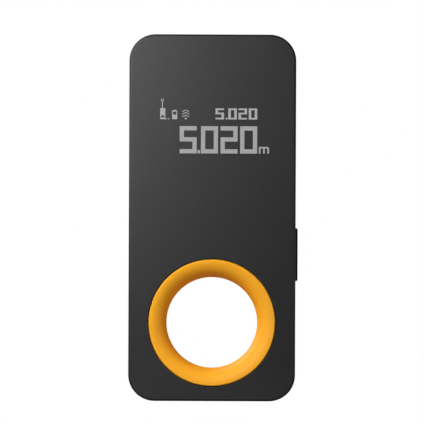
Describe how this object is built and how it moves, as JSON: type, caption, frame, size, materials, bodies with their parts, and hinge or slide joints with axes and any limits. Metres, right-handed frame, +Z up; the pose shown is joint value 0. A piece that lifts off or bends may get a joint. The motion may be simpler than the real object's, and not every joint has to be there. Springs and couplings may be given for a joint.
{
  "type": "laser distance meter",
  "caption": "Pocket laser distance meter: a slim upright block with rounded corners, a dot display that shines through the front, a flared ring right through it and a side key.",
  "frame": {"origin": "centre of the lower end face, the datum that distances are measured from", "axes": "+Z up the length to the window the laser leaves by, -Y out of the display side, +X out of the side that has the key"},
  "size_m": [0.0335, 0.0165, 0.0725],
  "materials": {
    "shell_black": "soft-touch painted, fine even texture",
    "button_black": "fine texture",
    "grip_orange": "satin, moulded right through",
    "label_black": "matt film, blank",
    "screw_steel": "black zinc",
    "inner_screw_steel": "bright zinc",
    "window_clear": "polished, lightly smoked",
    "mask_black": "black adhesive film",
    "bench_black": "glass-filled moulding",
    "lens_glass": "polished, coated",
    "filter_glass": "polished, red",
    "sensor_black": "moulded package",
    "barrel_brass": "turned",
    "diode_gold": "gold-plated",
    "collimator_black": "black anodised",
    "board_green": "solder mask",
    "flex_amber": "polyimide film",
    "display_film": "smoked film",
    "display_glass": "polished",
    "display_dots": "dots that shine white when lit",
    "foam_grey": "closed-cell foam",
    "frame_steel": "rolled stainless sheet",
    "dome_steel": "sprung stainless",
    "chip_black": "epoxy package",
    "antenna_ceramic": "glazed ceramic",
    "crystal_steel": "plated can",
    "parts_tan": "fired ceramic",
    "connector_cream": "nylon",
    "lead_red": "silicone insulation",
    "cell_silver": "laminated foil pouch",
    "tape_white": "foam tape",
    "switch_black": "moulded",
    "plunger_white": "moulded",
    "usb_black": "moulded",
    "contact_gold": "gold-plated"
  },
  "bodies": {
    "case": {"battery_cell": "cell_silver", "battery_circuit": "board_green", "battery_leads": "lead_red", "battery_plug": "connector_cream", "battery_socket": "connector_cream", "battery_tape": "tape_white", "bench_screws": "inner_screw_steel", "board_screws": "inner_screw_steel", "case_screws": "screw_steel", "charger_chip": "chip_black", "chip_parts": "parts_tan", "collimating_lens": "lens_glass", "collimator_ring": "collimator_black", "display_cap": "display_glass", "display_connector": "connector_cream", "display_driver": "chip_black", "display_emitter": "display_dots", "display_flex": "flex_amber", "display_foam": "foam_grey", "display_frame": "frame_steel", "display_glass": "display_glass", "display_polarizer": "display_film", "front_cover": "shell_black", "grip_ring": "grip_orange", "laser_barrel": "barrel_brass", "laser_diode": "diode_gold", "main_board": "board_green", "optics_bench": "bench_black", "optics_board": "board_green", "optics_board_screws": "inner_screw_steel", "optics_connector": "connector_cream", "optics_flex": "flex_amber", "photodiode": "sensor_black", "processor_chip": "chip_black", "radio_antenna": "antenna_ceramic", "radio_chip": "chip_black", "radio_shield": "frame_steel", "rear_cover": "shell_black", "rear_label": "label_black", "receiver_filter": "filter_glass", "receiving_lens": "lens_glass", "switch_dome": "dome_steel", "switch_frame": "frame_steel", "switch_housing": "switch_black", "timing_crystal": "crystal_steel", "usb_contacts": "contact_gold", "usb_insulator": "usb_black", "usb_shell": "frame_steel", "window_mask": "mask_black", "window_pane": "window_clear"},
    "button": {"side_button": "button_black"},
    "plunger": {"switch_plunger": "plunger_white"}
  },
  "joints": [
    {"name": "button_press", "type": "slide", "parent": "case", "child": "button", "axis": [-1, 0, 0], "range_m": [0, 0.0003]},
    {"name": "plunger_press", "type": "slide", "parent": "case", "child": "plunger", "axis": [-1, 0, 0], "range_m": [0, 0.0003], "deforming": ["switch_dome"]}
  ],
  "couplings": [
    {"joint": "plunger_press", "follows": "button_press", "ratio": 1}
  ]
}
